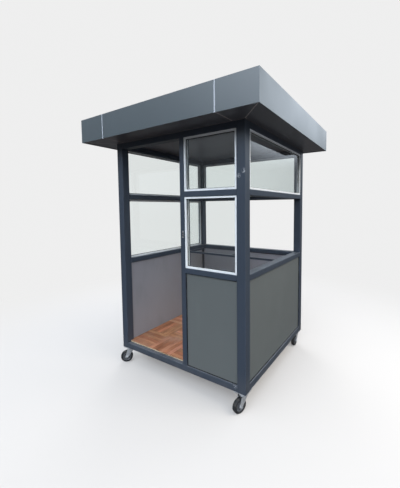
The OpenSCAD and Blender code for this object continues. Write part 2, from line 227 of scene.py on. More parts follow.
def paint(name, color, roughness=0.32, marks=()):
    """Sprayed steel paint: mottling, orange peel, dust, a paler foot that is partly dust and partly painted light
    from the ground, edges lightened partly by wear and partly as a painted highlight, and bare scratch marks.
    """
    s = Shade(name, color, roughness, Specular_IOR_Level=0.4)
    mottle = s.noise(2.2, 4)
    col = s.mix(mottle, tone(color, 0.90), tone(color, 1.1))
    height = s.axes()[2]
    # Paler towards the foot: partly dust, partly painted light bounced up from the ground.
    low = s.span(height, BASE_Z, BASE_TOP + 0.15, 0.10, 0.0)
    dusty = s.math("MULTIPLY", low, s.span(s.noise(9, 5), 0.2, 0.8))
    col = s.mix(dusty, col, DUST)
    settled = s.math("MULTIPLY", upward(s), s.span(s.noise(14, 5), 0.25, 0.75, 0.08, 0.28))
    col = s.mix(settled, col, SETTLED_DUST)
    fleck = s.span(s.noise(240, 2), 0.80, 0.84)
    col = s.mix(s.math("MULTIPLY", fleck, 0.6), col, tone(color, 2.6))
    soft, edge = rounded(s, PAINT_EDGE)
    # Edges lightened: partly worn paint, partly a painted highlight along their rounding.
    edge_wear_and_highlight = s.math("MULTIPLY", edge, s.span(s.noise(18, 5), 0.35, 0.75, 0.06, 0.4))
    col = s.mix(edge_wear_and_highlight, col, tone(color, 2.2))
    for centre, radius, scale in marks:
        away = s.add("ShaderNodeVectorMath", {0: s.coords, 1: centre}, operation="DISTANCE")
        near = s.span(away.outputs[1], radius * 0.35, radius, 1.0, 0.0)
        streak = s.noise(scale, 4, stretch=(1.0, 1.0, 2.4), roughness=0.7)
        bare = s.math("MULTIPLY", near, s.span(streak, 0.54, 0.60))
        col = s.mix(bare, col, BARE_METAL)
    s.put("Base Color", col)
    s.put("Roughness", s.span(s.noise(5, 3), 0.3, 0.7, roughness - 0.03, roughness + 0.06))
    peel = s.bump(s.noise(420, 2), 0.00025, 0.35, soft)
    s.put("Normal", s.bump(s.noise(2.2, 1), 0.0006, 0.5, peel))
    return s.mat


def inside_walls(s, skin=45 * MM):
    """One inside the cabin's walls, nought from the skin's depth outwards."""
    x, y, _ = s.axes()
    side_x = s.math("LESS_THAN", s.math("ABSOLUTE", x), RIGHT_X - skin)
    off_y = s.math("ABSOLUTE", s.math("SUBTRACT", y, (FRONT_Y + BACK_Y) / 2))
    side_y = s.math("LESS_THAN", off_y, (BACK_Y - FRONT_Y) / 2 - skin)
    return s.math("MULTIPLY", side_x, side_y)


def composite_sheet(name, color, roughness, wave=0.0012, specular=0.5, inner=None):
    """Coated aluminium composite: long waves, fine grain, smears, another tone inside the walls."""
    s = Shade(name, color, roughness, Specular_IOR_Level=specular)
    col = s.mix(s.noise(1.1, 3), tone(color, 0.92), tone(color, 1.08))
    if inner:
        lining = s.mix(s.noise(1.4, 3), tone(inner, 0.93), tone(inner, 1.07))
        col = s.mix(inside_walls(s), col, lining)
    smear = s.span(s.noise(6, 5, stretch=(1.0, 1.0, 0.35)), 0.5, 0.85)
    col = s.mix(s.math("MULTIPLY", smear, 0.35), col, tone(color, 1.25))
    s.put("Base Color", col)
    s.put("Roughness", s.span(s.noise(3, 3), 0.3, 0.7, roughness - 0.02, roughness + 0.03))
    grain = s.bump(s.noise(260, 2), 0.00001, 0.2)
    s.put("Normal", s.bump(s.noise(1.3, 0), wave, 0.5, grain))
    return s.mat


def white_coat():
    """White powder coat on aluminium, with patches of grey grime."""
    color = srgb(217, 220, 221)
    s = Shade("white_powder_coat", color, 0.36, Specular_IOR_Level=0.5)
    grime = s.span(s.noise(22, 6), 0.5, 0.78)
    col = s.mix(s.math("MULTIPLY", grime, 0.28), color, srgb(168, 168, 164))
    s.put("Base Color", col)
    soft, _ = rounded(s, TRIM_EDGE)
    s.put("Normal", s.bump(s.noise(700, 2), 0.0001, 0.4, soft))
    return s.mat


def clear_glass():
    """Clear float glass with a faint green cast, its polish a little uneven."""
    s = Shade("float_glass", (0.90, 0.94, 0.93, 1.0), 0.0, IOR=1.45)
    s.put("Transmission Weight", 1.0)
    s.put("Roughness", s.span(s.noise(1.5, 2), 0.4, 0.7, 0.0, 0.01))
    return s.mat


def parquet():
    """Basket-weave parquet print: square blocks of strips that turn from block to block."""
    block = 300 * MM
    strips = 6
    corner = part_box("floor_covering")[0]
    s = Shade("parquet_print", srgb(170, 116, 88), 0.42, Specular_IOR_Level=0.4)
    x, y, _ = s.axes()
    x, y = s.math("SUBTRACT", x, corner.x), s.math("SUBTRACT", y, corner.y)
    col_x = s.math("FLOOR", s.math("DIVIDE", x, block))
    row_y = s.math("FLOOR", s.math("DIVIDE", y, block))
    odd = s.math("FLOORED_MODULO", s.math("ADD", col_x, row_y), 2.0)
    even = s.math("SUBTRACT", 1.0, odd)
    across = s.math("ADD", s.math("MULTIPLY", x, odd), s.math("MULTIPLY", y, even))
    along = s.math("ADD", s.math("MULTIPLY", y, odd), s.math("MULTIPLY", x, even))
    strip = s.math("DIVIDE", across, block / strips)
    number = s.math("FLOOR", strip)
    plank = s.add("ShaderNodeCombineXYZ", {
        0: number, 1: s.math("MULTIPLY_ADD", row_y, 17.0, col_x), 2: odd}).outputs[0]
    pick = s.add("ShaderNodeTexWhiteNoise", {0: plank}, noise_dimensions="3D").outputs[0]
    tint = s.add("ShaderNodeValToRGB", {0: pick})
    stops = [(0.0, srgb(150, 96, 66)), (0.25, srgb(184, 120, 88)), (0.5, srgb(176, 130, 92)),
             (0.75, srgb(196, 132, 106)), (1.0, srgb(208, 160, 126))]
    ramp = tint.color_ramp
    while len(ramp.elements) < len(stops):
        ramp.elements.new(0.5)
    for element, (place, color) in zip(ramp.elements, stops):
        element.position = place
        element.color = color
    offset = s.math("MULTIPLY_ADD", pick, 9.0, along)
    grain_at = s.add("ShaderNodeCombineXYZ", {0: offset, 1: across, 2: pick}).outputs[0]
    grain = s.noise(22, 7, vector=grain_at, stretch=(0.5, 9.0, 3.0), roughness=0.7)
    knots = s.noise(4, 3, vector=grain_at, stretch=(0.7, 2.4, 1.0))
    veins = s.span(grain, 0.40, 0.60, 0.0, 0.55)
    figure = s.math("ADD", veins, s.span(knots, 0.38, 0.62, 0.0, 0.45))
    col = s.mix(figure, s.mix(0.70, tint.outputs[0], srgb(84, 52, 34)), tint.outputs[0])
    edge = s.span(s.math("PINGPONG", strip, 0.5), 0.0, 0.03, 1.0, 0.0)
    end = s.math("PINGPONG", s.math("DIVIDE", along, block), 0.5)
    joint = s.math("MAXIMUM", edge, s.span(end, 0.0, 0.006, 1.0, 0.0))
    col = s.mix(s.math("MULTIPLY", joint, 0.8), col, srgb(92, 60, 44))
    dusty = s.span(s.noise(5, 6), 0.5, 0.8)
    col = s.mix(s.math("MULTIPLY", dusty, 0.25), col, srgb(190, 176, 160))
    s.put("Base Color", col)
    s.put("Roughness", s.span(grain, 0.3, 0.7, 0.36, 0.52))
    s.put("Normal", s.bump(s.math("SUBTRACT", grain, joint), 0.0004, 0.5))
    return s.mat


def plywood():
    """Raw plywood board: ply lines on its edges and soft grain on its faces."""
    ply_t = 3 * MM
    s = Shade("plywood", srgb(186, 164, 134), 0.7)
    height = s.axes()[2]
    ply = s.math("PINGPONG", s.math("DIVIDE", height, ply_t), 0.5)
    grain = s.noise(9, 5, stretch=(1.0, 7.0, 1.0))
    col = s.mix(s.span(grain, 0.3, 0.7), srgb(160, 132, 100), srgb(204, 184, 154))
    s.put("Base Color", s.mix(s.span(ply, 0.1, 0.2, 0.45, 0.0), col, srgb(108, 82, 58)))
    s.put("Normal", s.bump(grain, 0.0003, 0.4))
    return s.mat


def zinc():
    """Zinc plating with a soft spangle, brushed and a little dull."""
    s = Shade("zinc_plate", srgb(190, 192, 196), 0.36, Metallic=0.6)
    spangle = s.add("ShaderNodeTexVoronoi", {"Vector": s.coords, "Scale": 180.0}).outputs[1]
    value = s.axes(spangle)[0]
    col = s.mix(value, srgb(172, 174, 178), srgb(212, 214, 216))
    grime = s.span(s.noise(40, 5), 0.5, 0.72)
    s.put("Base Color", s.mix(s.math("MULTIPLY", grime, 0.5), col, srgb(92, 88, 82)))
    s.put("Roughness", s.span(value, 0.0, 1.0, 0.28, 0.46))
    soft, _ = rounded(s, PLATE_EDGE)
    s.put("Normal", s.bump(s.noise(300, 3, stretch=(1.0, 1.0, 6.0)), 0.0001, 0.4, soft))
    return s.mat


def brushed_steel():
    """Stainless steel brushed along its length."""
    s = Shade("brushed_keep", srgb(200, 202, 205), 0.3, Metallic=1.0)
    brush = s.noise(60, 4, stretch=(30.0, 30.0, 1.0))
    s.put("Base Color", s.mix(brush, srgb(168, 170, 174), srgb(222, 224, 226)))
    s.put("Roughness", s.span(brush, 0.2, 0.8, 0.22, 0.42))
    s.put("Normal", s.bump(brush, 0.00005, 0.5))
    return s.mat


def rubber(name, color, roughness=0.62, dust=0.35):
    """Rubber or sealant: matt, finely pitted, dusty."""
    s = Shade(name, color, roughness, Specular_IOR_Level=0.3)
    grime = s.span(s.noise(55, 6), 0.48, 0.75)
    s.put("Base Color", s.mix(s.math("MULTIPLY", grime, dust), color, tone(DUST, 0.55)))
    s.put("Normal", s.bump(s.noise(600, 3), 0.0002, 0.5))
    return s.mat


def wheel_plastic():
    """Moulded grey plastic with a fine grain."""
    s = Shade("wheel_core_plastic", srgb(86, 88, 92), 0.45)
    s.put("Base Color", s.mix(s.noise(60, 5), srgb(74, 76, 80), srgb(100, 101, 104)))
    s.put("Normal", s.bump(s.noise(350, 2), 0.0001, 0.4))
    return s.mat


NAVY = srgb(54, 62, 73)
# bare scratch marks round the front right corner: place, radius and fineness
MARKS = (((RIGHT_X - 0.012, FRONT_Y, TRANSOM_TOP + 0.138), 0.026, 85.0),
         ((RIGHT_X - 0.056, FRONT_Y, TRANSOM_TOP + 0.104), 0.024, 110.0),
         ((RIGHT_X - 0.098, FRONT_Y, BASE_TOP - 0.012), 0.026, 95.0))

PAINT = paint("frame_paint", NAVY, marks=MARKS)
PANEL = composite_sheet("panel_sheet", srgb(91, 95, 94), 0.40, inner=srgb(132, 132, 138))
FASCIA = composite_sheet("fascia_sheet", srgb(68, 79, 84), 0.30, specular=1.0)
SOFFIT = composite_sheet("soffit_sheet", srgb(104, 104, 110), 0.30, wave=0.00015, specular=0.5)
DECK = composite_sheet("deck_sheet", srgb(150, 153, 155), 0.55)
WHITE = white_coat()
GLASS = clear_glass()
PARQUET = parquet()
PLY = plywood()
ZINC = zinc()
KEEP = brushed_steel()
SEALANT = rubber("silicone_sealant", srgb(178, 183, 190), 0.5, dust=0.2)
SEAM = rubber("soffit_sealant", srgb(206, 196, 194), 0.5, dust=0.1)
# Mid grey of the fillet that draws a light line round the soffit's inner edge.
FILLET_GREY = rubber("soffit_fillet_grey", srgb(92, 90, 93), 0.5, dust=0.15)
# Black rubber of the glazing gaskets; the same black also paints the shadow round the lower panels and inside the
# lock keep's openings.
BLACK_RUBBER_AND_SHADE = rubber("glazing_gasket", srgb(26, 27, 30), 0.55, dust=0.2)
TYRE = rubber("tyre_rubber", srgb(34, 35, 37), 0.6)
CORE = wheel_plastic()

SLOT_LOOKS = {
    "frame_paint": PAINT, "panel_sheet": PANEL, "fascia_sheet": FASCIA, "soffit_sheet": SOFFIT,
    "deck_sheet": DECK, "window_frame": WHITE, "glass": GLASS, "board": PLY,
    "parquet": PARQUET, "lock_steel": KEEP, "sealant": SEALANT, "zinc": ZINC, "tyre": TYRE,
}


def dress_nodes():
    """Gives each CAD node its slot's material; the lamps shine through the glass."""
    for part in frame["record"]["subparts"]:
        node = NODES[part["node"]]
        node.data.materials.clear()
        node.data.materials.append(SLOT_LOOKS[part["material_slot"]])
        node.visible_shadow = part["material_slot"] != "glass"


dress_nodes()


# ---------------------------------------------------------------- mesh kit

class Piece:
    """A mesh built up from solids, then turned into one object that rides on a body."""

    def __init__(self):
        self.bm = bmesh.new()

    def box(self, low, high, bevel=0.0, matrix=Matrix()):
        """Block with its edges rounded off."""
        size = Vector(high) - Vector(low)
        centre = (Vector(high) + Vector(low)) / 2
        place = matrix @ Matrix.Translation(centre) @ Matrix.Diagonal((*size, 1.0))
        made = bmesh.ops.create_cube(self.bm, size=1.0, matrix=place)
        if bevel:
            edges = {e for v in made["verts"] for e in v.link_edges}
            bmesh.ops.bevel(self.bm, geom=list(edges), offset=bevel, segments=2,
                            affect="EDGES", profile=0.5)

    def prism(self, rings, closed=True):
        """Skins a closed loop of sections, or a run of them with capped ends."""
        made = [[self.bm.verts.new(p) for p in ring] for ring in rings]
        count = len(made) if closed else len(made) - 1
        for i in range(count):
            a, b = made[i], made[(i + 1) % len(made)]
            for j in range(len(a)):
                k = (j + 1) % len(a)
                self.bm.faces.new((a[j], a[k], b[k], b[j]))
        if not closed:
            self.bm.faces.new(made[0])
            self.bm.faces.new(list(reversed(made[-1])))

    def ring(self, wall, u_range, v_range, profile):
        """Mitred ring on a wall: the profile's points are (inset from the rectangle, depth)."""
        u0, u1 = u_range
        v0, v1 = v_range
        turns = ((u0, v0, 1, 1), (u1, v0, -1, 1), (u1, v1, -1, -1), (u0, v1, 1, -1))
        self.prism([[wall.at(u + su * inset, v + sv * inset, depth) for inset, depth in profile]
                    for u, v, su, sv in turns])

    def lathe(self, profile, matrix, steps=64):
        """Turns a closed profile of (radius, along) points round the matrix's own Z axis."""
        rings = []
        for i in range(steps):
            turn = 2 * math.pi * i / steps
            rings.append([matrix @ Vector((r * math.cos(turn), r * math.sin(turn), a))
                          for r, a in profile])
        self.prism(rings)

    def screw(self, matrix, radius, height, sides=6):
        """Bolt or rivet head: a chamfered disc or hexagon along the matrix's Z axis."""
        rim = ((1.0, 0.0), (1.0, 0.72), (0.82, 1.0))
        rings = []
        for share, up in rim:
            rings.append([matrix @ Vector((radius * share * math.cos(2 * math.pi * i / sides),
                                           radius * share * math.sin(2 * math.pi * i / sides),
                                           height * up)) for i in range(sides)])
        self.prism(rings, closed=False)

    def done(self, name, material, body, slot, sharp=35.0):
        """Makes the object: smooth, but creased along edges sharper than an angle in degrees."""
        bmesh.ops.remove_doubles(self.bm, verts=self.bm.verts, dist=1e-6)
        bmesh.ops.recalc_face_normals(self.bm, faces=self.bm.faces)
        for face in self.bm.faces:
            face.smooth = True
        for edge in self.bm.edges:
            shared = len(edge.link_faces) == 2
            edge.smooth = shared and edge.calc_face_angle(0.0) < math.radians(sharp)
        mesh = bpy.data.meshes.new(name)
        self.bm.to_mesh(mesh)
        self.bm.free()
        mesh.materials.append(material)
        obj = bpy.data.objects.new(name, mesh)
        bpy.context.scene.collection.objects.link(obj)
        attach(obj, body)
        return obj


def facing(point, direction):
    """Matrix at a point whose Z axis looks along a direction."""
    turn = Vector(direction).to_track_quat("Z", "Y").to_matrix().to_4x4()
    return Matrix.Translation(point) @ turn


def arc(centre, radius, start, end, steps):
    """Points on an arc in a profile's plane, angles in degrees."""
    out = []
    for i in range(steps + 1):
        turn = math.radians(start + (end - start) * i / steps)
        out.append((centre[0] + radius * math.cos(turn), centre[1] + radius * math.sin(turn)))
    return out


# ---------------------------------------------------------------- windows and panels

SASH_LOW, SASH_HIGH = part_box("window_frame_right")
GLASS_LOW, GLASS_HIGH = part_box("glass_right")
SASH_OUT = RIGHT_X - SASH_HIGH.x
SASH_IN = RIGHT_X - SASH_LOW.x
GLASS_OUT = RIGHT_X - GLASS_HIGH.x
GLASS_IN = RIGHT_X - GLASS_LOW.x
SASH_MIDDLE = (SASH_LOW.y + SASH_HIGH.y) / 2
SASH_W = max(v.co.y for v in NODES["window_frame_right"].data.vertices
             if v.co.y < SASH_MIDDLE) - WALLS["right"].u_low


def shrink(bounds, by):
    """A range drawn in at both ends."""
    return bounds[0] + by, bounds[1] - by


def bay(name):
    """A wall and the range between its posts."""
    wall = WALLS[name]
    return wall, (wall.u_low, wall.u_high)


def gaskets():
    """Black wedge seals round the glass, inside and outside, set into each window frame."""
    piece = Piece()
    wide, tall, clear = 4.5 * MM, 2.6 * MM, 0.1 * MM
    for name, heights in GLAZED:
        wall, width = bay(name)
        u, v = shrink(width, SASH_W - clear), shrink(heights, SASH_W - clear)
        for face, sign in ((GLASS_OUT, -1), (GLASS_IN, 1)):
            near, far = face + sign * clear, face + sign * tall
            wedge = [(0, far), (wide - 3 * MM, far), (wide - 1 * MM, (near + far) / 2),
                     (wide, near), (0, near)]
            piece.ring(wall, u, v, wedge)
    piece.done("glazing_gaskets", BLACK_RUBBER_AND_SHADE, BODY, "sealant")


def mitre_joints():
    """Hairline mitres across the corners of the window frames, on both faces."""
    piece = Piece()
    half, proud, thick, clear = 0.45 * MM, 0.12 * MM, 0.2 * MM, 0.5 * MM
    run = SASH_W - 2 * clear
    for name, heights in GLAZED:
        wall, width = bay(name)
        (u0, u1), (v0, v1) = shrink(width, clear), shrink(heights, clear)
        for face, sign in ((SASH_OUT, -1), (SASH_IN, 1)):
            for u, v, su, sv in ((u0, v0, 1, 1), (u1, v0, -1, 1), (u1, v1, -1, -1),
                                 (u0, v1, 1, -1)):
                outline = [(u + half * su, v), (u, v + half * sv),
                           (u + run * su - half * su, v + run * sv),
                           (u + run * su, v + run * sv - half * sv)]
                piece.prism([[wall.at(a, b, face + sign * d) for a, b in outline]
                             for d in (proud, proud - thick)], closed=False)
    piece.done("window_mitres", BLACK_RUBBER_AND_SHADE, BODY, "sealant")


def panel_shadow_fillets():
    """Black fillets round each lower panel, outside and inside: a painted shadow along the edges of each panel's
    recess.
    """
    piece = Piece()
    size = 6 * MM
    for name in WALLS:
        wall, width = bay(name)
        low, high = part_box("panel_" + name)
        heights = (low.z, high.z)
        depths = sorted(abs((corner - wall.origin).dot(wall.inward)) for corner in (low, high))
        for face, sign in zip(depths, (-1, 1)):
            curve = arc((size, sign * size + face), size, 180, 180 + sign * 90, 4)
            piece.ring(wall, width, heights, [(0, face)] + curve)
    piece.done("panel_shadow_fillets", BLACK_RUBBER_AND_SHADE, BODY, "sealant")


def weld_beads():
    """Rippled fillet welds where the rails meet the posts, behind the windows and panels."""
    piece = Piece()
    radius, pitch, end_gap = 2.6 * MM, 5 * MM, 4 * MM
    behind_window, behind_panel = 38 * MM, 68 * MM
    seats = [(SILL_TOP, 1, behind_window), (TRANSOM_LOW, -1, behind_window),
             (TRANSOM_TOP, 1, behind_window), (SILL_LOW, -1, behind_panel)]
    for wall in WALLS.values():
        for z, up, depth_from in seats:
            for u, side in ((wall.u_low, 1), (wall.u_high, -1)):
                count = int((POST - end_gap - depth_from) / pitch)
                rings = []
                for i in range(2 * count + 1):
                    swell = radius * (1.0 if i % 2 else 0.82)
                    d = depth_from + i * pitch / 2
                    rings.append([wall.at(u, z, d), wall.at(u + side * swell, z, d),
                                  wall.at(u + side * swell * 0.6, z + up * swell * 0.6, d),
                                  wall.at(u, z + up * swell, d)])
                piece.prism(rings, closed=False)
    piece.done("weld_beads", PAINT, BODY, "frame_paint", sharp=80)


gaskets()
mitre_joints()
panel_shadow_fillets()
weld_beads()


# ---------------------------------------------------------------- roof

EAVE_LOW, EAVE_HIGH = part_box("soffit_panels")
ROOF_LOW, ROOF_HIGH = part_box("fascia_front")
DECK_LOW, DECK_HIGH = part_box("roof_deck")
CAP_W = ROOF_HIGH.y - ROOF_LOW.y
SHEET = EAVE_HIGH.z - EAVE_LOW.z
# width of the sealed joints in the fascias, and how far from the middle they stand
JOINT_W = 11 * MM
JOINT_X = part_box("fascia_sealant")[1].x - JOINT_W / 2
# gap left between the posts and the soffit's sealant seams and grey fillet
SOFFIT_CLEAR = 1 * MM


def strip(piece, a, b, half, low, high):
    """Upright-sided strip of the given half width between two points in plan."""
    a, b = Vector(a), Vector(b)
    side = (b - a).normalized()
    side = Vector((-side.y, side.x)) * half
    ends = [a + side, b + side, b - side, a - side]
    piece.prism([[Vector((p.x, p.y, z)) for p in ends] for z in (low, high)], closed=False)


def soffit_seams():
    """Sealant beads over the mitres and joints of the soffit."""
    piece = Piece()
    low, high = EAVE_LOW.z - 0.6 * MM, EAVE_HIGH.z - 0.4 * MM
    half = 3.2 * MM
    corner_in, joint_in = 6 * MM, 4 * MM
    for sx, post_x, eave_x in ((-1, LEFT_X, EAVE_LOW.x), (1, RIGHT_X, EAVE_HIGH.x)):
        for sy, post_y, eave_y in ((-1, FRONT_Y, EAVE_LOW.y), (1, BACK_Y, EAVE_HIGH.y)):
            end_y = post_y - sy * SOFFIT_CLEAR
            strip(piece, (eave_x - sx * corner_in, eave_y - sy * corner_in),
                  (post_x - sx * SOFFIT_CLEAR, end_y), half, low, high)
            strip(piece, (sx * JOINT_X, eave_y - sy * joint_in),
                  (sx * JOINT_X, end_y), half, low, high)
    piece.done("soffit_seams", SEAM, BODY, "sealant")


def soffit_fillet():
    """Hollow mid-grey fillet round the soffit's inner edge, against the posts and beams, which draws a light line
    along that junction.
    """
    piece = Piece()
    size = 5 * MM
    curve = arc((-size, -size), size, 0, 90, 4)
    corners = ((LEFT_X, FRONT_Y, -1, -1), (RIGHT_X, FRONT_Y, 1, -1),
               (RIGHT_X, BACK_Y, 1, 1), (LEFT_X, BACK_Y, -1, 1))
    profile = [(-SOFFIT_CLEAR, SOFFIT_CLEAR)] + [(-a, b) for a, b in curve]
    piece.prism([[Vector((x + sx * out, y + sy * out, EAVE_LOW.z + up)) for out, up in profile]
                 for x, y, sx, sy in corners])
    piece.done("soffit_fillet", FILLET_GREY, BODY, "sealant")


def sealant_faces():
    """Tooled silicone in the fascia joints: a shallow bead that stands back from the sheet."""
    piece = Piece()
    low, high = ROOF_LOW.z, ROOF_HIGH.z
    half = JOINT_W / 2
    # how far the bead stands back from the sheet across the joint
    dish = [(-half, 0.2 * MM), (-half * 0.5, 0.7 * MM), (0, 0.9 * MM),
            (half * 0.5, 0.7 * MM), (half, 0.2 * MM)]
    for sy, eave in ((1, ROOF_LOW.y), (-1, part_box("fascia_back")[1].y)):
        for sx in (-1, 1):
            face = [(sx * JOINT_X + x, eave + sy * back_by) for x, back_by in dish]
            back = [(x, eave + sy * SHEET) for x, _ in reversed(face)]
            piece.prism([[Vector((x, y, z)) for x, y in face + back] for z in (low, high)],
                        closed=False)
            over = [(sx * JOINT_X + x, high - back_by) for x, back_by in dish]
            under = [(x, high - SHEET) for x, _ in reversed(over)]
            piece.prism([[Vector((x, eave + sy * y, z)) for x, z in over + under]
                         for y in (SHEET, CAP_W)], closed=False)
    bead = piece.done("fascia_joint_beads", SEALANT, BODY, "sealant")
    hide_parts("fascia_sealant")


def cap_rivets():
    """Pop rivets along the returns on top of the fascias."""
    piece = Piece()
    pitch = 300 * MM
    radius, tall = 4 * MM, 1.2 * MM
    top = ROOF_HIGH.z
    x_end, y_end = CAD_HIGH.x - CAP_W / 2, CAD_HIGH.y - CAP_W / 2
    for span, cross, along_x in ((x_end, y_end, True), (y_end, x_end, False)):
        count = round(2 * span / pitch)
        for i in range(count + 1):
            for side in (-1, 1):
                run = -span + 2 * span * i / count
                if along_x:
                    at = (run, side * cross)
                    near_joint = abs(abs(run) - JOINT_X) < 2 * JOINT_W
                else:
                    at = (side * cross, run)
                    near_joint = i in (0, count)
                if not near_joint:
                    piece.screw(facing((*at, top - tall), (0, 0, 1)), radius, tall, 12)
    piece.done("cap_rivets", ZINC, BODY, "zinc")


def deck_laps():
    """Lapped joints and capped screws of the roof deck's sheets, and the sealant round its rim."""
    laps, screws = Piece(), Piece()
    top = DECK_HIGH.z
    low_y, high_y = DECK_LOW.y + 2 * MM, DECK_HIGH.y - 2 * MM
    ends_x = (DECK_LOW.x + 2 * MM, DECK_HIGH.x - 2 * MM)
    third = (DECK_HIGH.x - DECK_LOW.x) / 3
    edge = 26 * MM
    section = [(-edge, 0), (-edge, 1.5 * MM), (edge * 0.1, 2.2 * MM), (edge * 0.16, 0)]
    screw_count, screw_r, screw_h = 7, 6 * MM, 4 * MM
    rim_w, rim_h = 14 * MM, 10 * MM
    for x in (DECK_LOW.x + third, DECK_LOW.x + 2 * third):
        laps.prism([[Vector((x + a, y, top + b)) for a, b in section]
                    for y in (low_y, high_y)], closed=False)
        for i in range(screw_count):
            y = low_y + (high_y - low_y) * (i + 0.5) / screw_count
            at = (x - edge / 2, y, top + 1.6 * MM)
            screws.screw(facing(at, (0, 0, 1)), screw_r, screw_h)
    for x in (DECK_LOW.x + 1 * MM, DECK_HIGH.x - 1 * MM):
        inner = rim_w if x < 0 else -rim_w
        laps.prism([[Vector((x, y, top)), Vector((x + inner, y, top)),
                     Vector((x, y, top + rim_h))] for y in (low_y, high_y)], closed=False)
    for y in (low_y, high_y):
        inner = rim_w if y < 0 else -rim_w
        laps.prism([[Vector((x, y, top)), Vector((x, y + inner, top)),
                     Vector((x, y, top + rim_h))] for x in ends_x], closed=False)
    laps.done("deck_laps", DECK, BODY, "deck_sheet")
    screws.done("deck_screws", ZINC, BODY, "zinc")


soffit_seams()
soffit_fillet()
sealant_faces()
cap_rivets()
deck_laps()


# ---------------------------------------------------------------- lock keep

def lock_keep():
    """Striking plate on the mullion: rounded plate, black patches of painted shade for a latch opening and a bolt
    opening, two screws.
    """
    low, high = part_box("lock_keep")
    mid = (low + high) / 2
    half_w, half_h = (high.x - low.x) / 2, (high.z - low.z) / 2
    plate = Piece()
    corner, rim = 3 * MM, 0.6 * MM
    outline = []
    for cx, cz, start in ((1, 1, 0), (-1, 1, 90), (-1, -1, 180), (1, -1, 270)):
        outline += arc((mid.x + cx * (half_w - corner), mid.z + cz * (half_h - corner)),
                       corner, start, start + 90, 4)
    shrunk = [(mid.x + (x - mid.x) * (1 - rim / half_w), mid.z + (z - mid.z) * (1 - rim / half_h))
              for x, z in outline]
    sections = [(high.y, outline), (low.y + rim, outline), (low.y, shrunk)]
    plate.prism([[Vector((x, y, z)) for x, z in points] for y, points in sections], closed=False)
    done = plate.done("lock_keep_plate", KEEP, BODY, "lock_steel")
    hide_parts("lock_keep")
    # The openings are not cut: black patches on the plate paint the shade inside them.
    dark = Piece()
    slot_half = 4 * MM
    for z, tall in ((mid.z + 9 * MM, 14 * MM), (mid.z - 12 * MM, 10 * MM)):
        dark.box((mid.x - slot_half, low.y - 0.15 * MM, z - tall / 2),
                 (mid.x + slot_half, low.y + 0.4 * MM, z + tall / 2), 0.1 * MM)
    dark.done("lock_keep_slot_shade", BLACK_RUBBER_AND_SHADE, BODY, "sealant")
    heads = Piece()
    for side in (-1, 1):
        at = (mid.x, low.y + 0.3 * MM, mid.z + side * (half_h - 6 * MM))
        heads.screw(facing(at, (0, -1, 0)), 3.2 * MM, 1.2 * MM, 20)
    heads.done("lock_keep_screws", ZINC, BODY, "zinc")


lock_keep()


# ---------------------------------------------------------------- casters

JOINTS = {j["name"]: j for j in frame["joints"]}
WHEEL_LOW, WHEEL_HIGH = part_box("caster_wheel_back_right")
WHEEL_R = WHEEL_HIGH.z / 2
WHEEL_W = min(WHEEL_HIGH.x - WHEEL_LOW.x, WHEEL_HIGH.y - WHEEL_LOW.y)
# radii of a wheel's core, its hub and its bore
RIM_R = 42 * MM
HUB_R = 15 * MM
BORE_R = 6.05 * MM
# a fork's cheeks: their gap to the wheel and their thickness
CHEEK_GAP = 5.5 * MM
CHEEK_T = 4 * MM
# corner pad and top plate of a caster, together
PLATE_DROP = 14 * MM


def wheel_matrix(corner):
    """Place of a wheel, its axle along Z."""
    joint = JOINTS["roll_" + corner]
    return facing(joint["pos_m"], joint["axis"])


def tyre(corner):
    """Rubber tyre: round shoulders, a slightly crowned tread, moulded rings on its sides."""
    half = WHEEL_W / 2
    shoulder = 8 * MM
    crown = WHEEL_R - 0.4 * MM
    tread = [(WHEEL_R, 0.0)]
    right = arc((crown - shoulder, half - shoulder), shoulder, 0, 90, 6)
    ring = [(RIM_R + 7 * MM, half), (RIM_R + 6 * MM, half - 1.2 * MM),
            (RIM_R + 4 * MM, half - 1.2 * MM), (RIM_R + 3 * MM, half), (RIM_R, half - 1 * MM)]
    upper = right + ring
    profile = tread + upper + [(r, -a) for r, a in reversed(upper)]
    piece = Piece()
    piece.lathe(profile, wheel_matrix(corner), 96)
    done = piece.done("caster_tyre_" + corner, TYRE, "wheel_" + corner, "tyre", sharp=25)
    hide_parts("caster_wheel_" + corner)


def core(corner):
    """Moulded wheel core: rim, web, hub and eight ribs on each side."""
    matrix = wheel_matrix(corner)
    half = WHEEL_W / 2
    rim_in = RIM_R - 6 * MM
    web = 4 * MM
    rim_half = half - 2 * MM
    hub_half = half - 1 * MM
    ribs, rib_half = 8, 1.5 * MM
    side = [(RIM_R - 0.2 * MM, rim_half), (rim_in + 1 * MM, rim_half), (rim_in, rim_half - 2 * MM),
            (rim_in - 2 * MM, web), (HUB_R + 2 * MM, web), (HUB_R, hub_half - 2 * MM),
            (HUB_R - 1 * MM, hub_half), (BORE_R, hub_half)]
    piece = Piece()
    piece.lathe(side + [(r, -a) for r, a in reversed(side)], matrix, 72)
    for i in range(ribs):
        spin = matrix @ Matrix.Rotation(2 * math.pi * i / ribs, 4, "Z")
        for sign in (-1, 1):
            low, high = sorted((sign * web * 0.5, sign * (half - 7 * MM)))
            piece.box((HUB_R - 1 * MM, -rib_half, low), (rim_in, rib_half, high), 0.6 * MM, spin)
    piece.done("caster_core_" + corner, CORE, "wheel_" + corner, "tyre")


